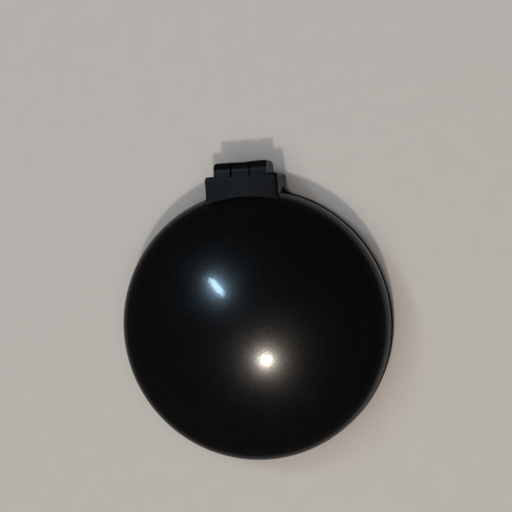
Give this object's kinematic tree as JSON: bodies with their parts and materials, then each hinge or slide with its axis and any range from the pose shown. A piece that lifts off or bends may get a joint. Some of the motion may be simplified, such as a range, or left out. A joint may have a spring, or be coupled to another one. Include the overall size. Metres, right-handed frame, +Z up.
{
  "type": "folding mirror hair brush",
  "caption": "Round pocket case that folds open on a neck hinge: one half holds a mirror, and the domed half pushes out a bristled brush pad as it opens.",
  "frame": {"origin": "centre of the flat back that the case rests on", "axes": "+Z up through the dome, +Y towards the hinge, X along the hinge pins"},
  "size_m": [0.0706, 0.0776, 0.0308],
  "materials": {
    "case_plastic": "polished black moulding",
    "inner_plastic": "plain black moulding",
    "mirror": "silvered glass",
    "adhesive": "foam tape",
    "pin_steel": "drawn wire",
    "cushion_rubber": "soft matt rubber",
    "bristle_nylon": "satin nylon",
    "tip_bead": "dipped resin bead"
  },
  "bodies": {
    "mirror_half": {"mirror_back": "case_plastic", "mirror_frame": "case_plastic", "mirror_glass": "mirror", "mirror_adhesive": "adhesive", "lift_pin": "pin_steel"},
    "brush_half": {"brush_shell": "case_plastic", "guide_bezel": "case_plastic", "hinge_pin_left": "pin_steel", "hinge_pin_right": "pin_steel"},
    "brush_pad": {"lift_plate": "inner_plastic", "cushion_ring": "case_plastic", "cushion": "cushion_rubber", "bristles_centre": "bristle_nylon", "bristles_ring_1": "bristle_nylon", "bristles_ring_2": "bristle_nylon", "bristles_ring_3": "bristle_nylon", "tips_centre": "tip_bead", "tips_ring_1": "tip_bead", "tips_ring_2": "tip_bead", "tips_ring_3": "tip_bead"}
  },
  "joints": [
    {"name": "lid_hinge", "type": "hinge", "parent": "mirror_half", "child": "brush_half", "pos_m": [0, 0.0397, 0.0076], "axis": [-1, 0, 0], "range_deg": [0, 145]},
    {"name": "pad_lift", "type": "slide", "parent": "brush_half", "child": "brush_pad", "axis": [0, 0, -1], "range_m": [0, 0.009]}
  ],
  "couplings": [
    {"joint": "pad_lift", "follows": "lid_hinge", "m_per_rad": 0.003556}
  ]
}
